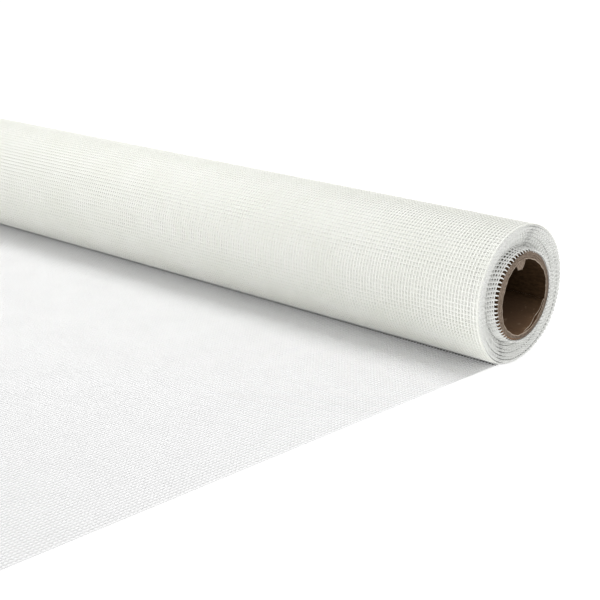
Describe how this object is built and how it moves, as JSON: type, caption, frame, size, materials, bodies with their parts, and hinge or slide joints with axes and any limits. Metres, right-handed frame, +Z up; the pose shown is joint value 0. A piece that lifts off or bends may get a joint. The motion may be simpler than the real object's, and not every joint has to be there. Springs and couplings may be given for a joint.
{
  "type": "fiberglass insect screen roll",
  "caption": "Roll of woven fibreglass insect screen cloth on an open cardboard tube, lying down with its outer end rolled out flat in front of it",
  "frame": {"origin": "on the floor, under the middle of the rectangle that the roll and its unrolled stretch cover", "axes": "+X along the roll's axis, towards the end where the inner turns stand out; the unrolled stretch lies towards -Y; +Z up"},
  "size_m": [0.6174, 0.3264, 0.053],
  "materials": {
    "screen_cloth": "white plastic-coated fibreglass yarn, satin",
    "cardboard": "matt brown spiral-wound board"
  },
  "bodies": {
    "root": {"screen_cloth": "screen_cloth", "core_tube": "cardboard"}
  },
  "joints": []
}
